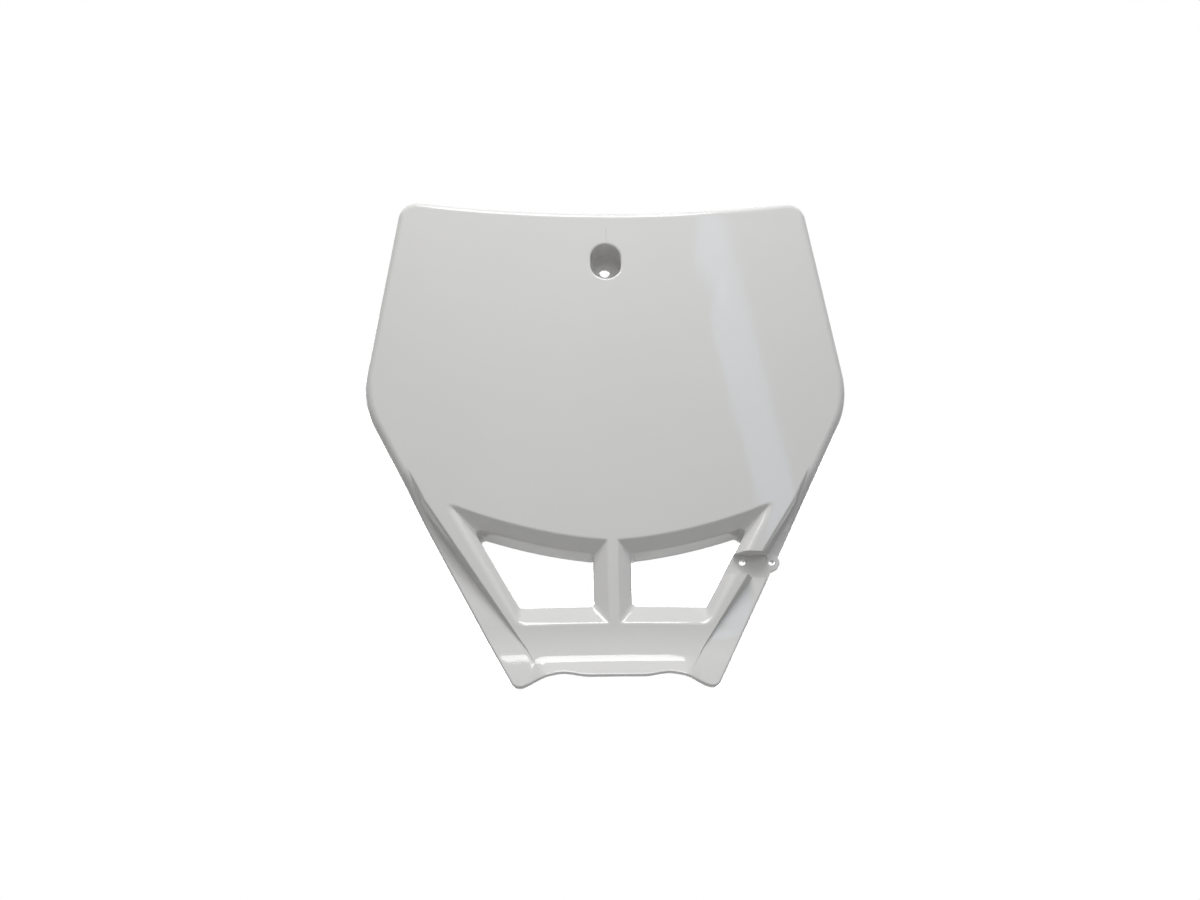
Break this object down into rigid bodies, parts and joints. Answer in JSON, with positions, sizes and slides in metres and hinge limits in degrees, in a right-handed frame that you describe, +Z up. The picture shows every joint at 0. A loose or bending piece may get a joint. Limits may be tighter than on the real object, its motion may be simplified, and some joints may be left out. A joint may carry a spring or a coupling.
{
  "type": "motorcycle front number board",
  "caption": "Moulded front number board for an off-road motorcycle, with lower air windows, a recessed screw cup, stepped side flanges and a seat for a hose guide.",
  "frame": {"origin": "centre of the screw hole, on the seat of the screw's head at the bottom of the cup", "axes": "+Y from the face to the back along the screw, +Z up the plate from the chin to the top edge, +X to the right as seen from the front"},
  "size_m": [0.2532, 0.0356, 0.2757],
  "materials": {
    "white_plastic": "glossy white, moulded"
  },
  "bodies": {
    "root": {"number_plate": "white_plastic"}
  },
  "joints": []
}
